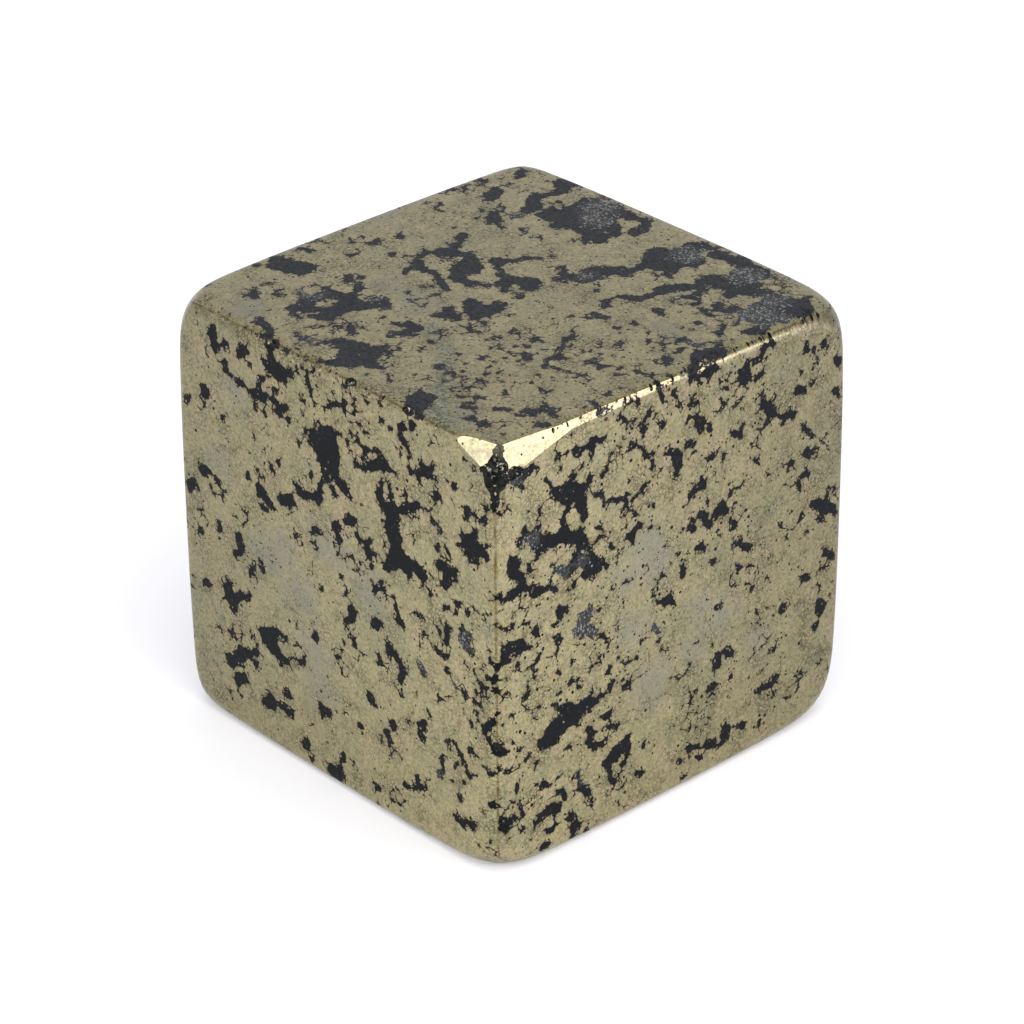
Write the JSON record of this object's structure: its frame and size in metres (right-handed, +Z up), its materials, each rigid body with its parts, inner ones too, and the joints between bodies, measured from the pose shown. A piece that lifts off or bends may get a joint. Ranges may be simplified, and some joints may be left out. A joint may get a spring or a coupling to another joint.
{
  "type": "pyrite specimen",
  "caption": "Polished cube of massive pyrite with black patches, worn round edges and a knocked top corner, standing on a flat face.",
  "frame": {"origin": "middle of the flat bottom face, on the surface that the stone stands on", "axes": "+Z up, X and Y square to the upright faces; the knocked top corner is the one at +X, -Y"},
  "size_m": [0.02, 0.02, 0.0198],
  "materials": {
    "pyrite": "satin polish, with dull black patches"
  },
  "bodies": {
    "root": {"pyrite_cube": "pyrite"}
  },
  "joints": []
}
